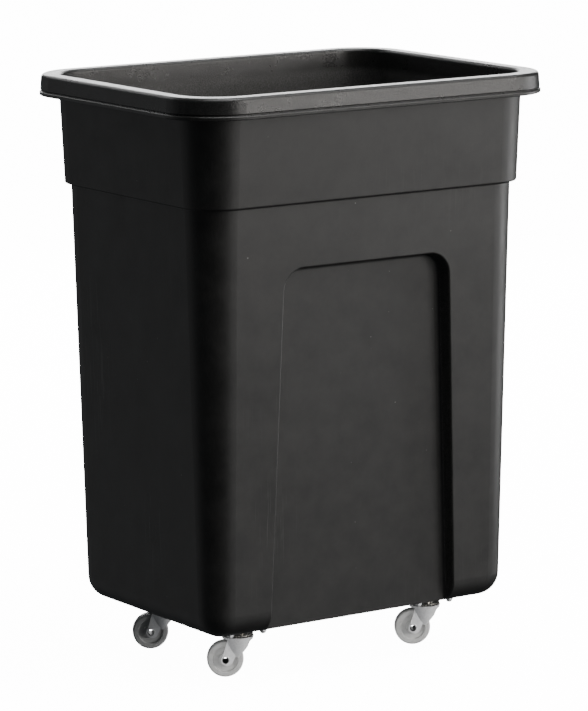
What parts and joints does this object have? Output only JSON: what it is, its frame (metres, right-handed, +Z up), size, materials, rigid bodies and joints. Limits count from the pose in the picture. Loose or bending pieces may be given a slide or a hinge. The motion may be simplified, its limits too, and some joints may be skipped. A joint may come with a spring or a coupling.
{
  "type": "mobile waste bin on castors",
  "caption": "Tall tapered moulded waste bin with a stepped collar, rolled grip rim and arched side recess, on swivel plate castors.",
  "frame": {"origin": "on the floor, midway along the length and the width of the rim", "axes": "+Z up out of the open mouth, +X along the long side of the rim, -Y out of the front wide wall with an arched recess"},
  "size_m": [0.588, 0.451, 0.8],
  "materials": {
    "moulded_tub": "fine-grained rotationally moulded polyethylene, semi-matte black",
    "nylon_wheel": "natural off-white nylon, satin",
    "zinc_pressing": "bright zinc plated pressed steel",
    "bearing_steel": "polished steel, greased",
    "zinc_fastener": "bright zinc plated, machined"
  },
  "bodies": {
    "tub_body": {"tub": "moulded_tub", "castor_bolts": "zinc_fastener", "penny_washers": "zinc_fastener", "dome_nuts": "zinc_fastener", "castor_plate_front_left": "zinc_pressing", "race_ring_front_left": "zinc_pressing", "kingpin_front_left": "bearing_steel", "kingpin_washer_front_left": "zinc_pressing", "castor_plate_front_right": "zinc_pressing", "race_ring_front_right": "zinc_pressing", "kingpin_front_right": "bearing_steel", "kingpin_washer_front_right": "zinc_pressing", "castor_plate_rear_left": "zinc_pressing", "race_ring_rear_left": "zinc_pressing", "kingpin_rear_left": "bearing_steel", "kingpin_washer_rear_left": "zinc_pressing", "castor_plate_rear_right": "zinc_pressing", "race_ring_rear_right": "zinc_pressing", "kingpin_rear_right": "bearing_steel", "kingpin_washer_rear_right": "zinc_pressing"},
    "fork_body_front_left": {"fork_front_left": "zinc_pressing", "bearing_balls_front_left": "bearing_steel", "axle_front_left": "zinc_pressing"},
    "wheel_body_front_left": {"wheel_front_left": "nylon_wheel"},
    "fork_body_front_right": {"fork_front_right": "zinc_pressing", "bearing_balls_front_right": "bearing_steel", "axle_front_right": "zinc_pressing"},
    "wheel_body_front_right": {"wheel_front_right": "nylon_wheel"},
    "fork_body_rear_left": {"fork_rear_left": "zinc_pressing", "bearing_balls_rear_left": "bearing_steel", "axle_rear_left": "zinc_pressing"},
    "wheel_body_rear_left": {"wheel_rear_left": "nylon_wheel"},
    "fork_body_rear_right": {"fork_rear_right": "zinc_pressing", "bearing_balls_rear_right": "bearing_steel", "axle_rear_right": "zinc_pressing"},
    "wheel_body_rear_right": {"wheel_rear_right": "nylon_wheel"}
  },
  "joints": [
    {"name": "castor_swivel_front_left", "type": "hinge", "parent": "tub_body", "child": "fork_body_front_left", "pos_m": [-0.15496, -0.09496, 0.0551], "axis": [0, 0, 1], "continuous": true},
    {"name": "wheel_spin_front_left", "type": "hinge", "parent": "fork_body_front_left", "child": "wheel_body_front_left", "pos_m": [-0.1695, -0.08616, 0.025], "axis": [-0.518, -0.8554, 0], "continuous": true},
    {"name": "castor_swivel_front_right", "type": "hinge", "parent": "tub_body", "child": "fork_body_front_right", "pos_m": [0.15496, -0.09496, 0.0551], "axis": [0, 0, 1], "continuous": true},
    {"name": "wheel_spin_front_right", "type": "hinge", "parent": "fork_body_front_right", "child": "wheel_body_front_right", "pos_m": [0.14042, -0.08616, 0.025], "axis": [-0.518, -0.8554, 0], "continuous": true},
    {"name": "castor_swivel_rear_left", "type": "hinge", "parent": "tub_body", "child": "fork_body_rear_left", "pos_m": [-0.15496, 0.09496, 0.0551], "axis": [0, 0, 1], "continuous": true},
    {"name": "wheel_spin_rear_left", "type": "hinge", "parent": "fork_body_rear_left", "child": "wheel_body_rear_left", "pos_m": [-0.1695, 0.10377, 0.025], "axis": [-0.518, -0.8554, 0], "continuous": true},
    {"name": "castor_swivel_rear_right", "type": "hinge", "parent": "tub_body", "child": "fork_body_rear_right", "pos_m": [0.15496, 0.09496, 0.0551], "axis": [0, 0, 1], "continuous": true},
    {"name": "wheel_spin_rear_right", "type": "hinge", "parent": "fork_body_rear_right", "child": "wheel_body_rear_right", "pos_m": [0.14042, 0.10377, 0.025], "axis": [-0.518, -0.8554, 0], "continuous": true}
  ]
}
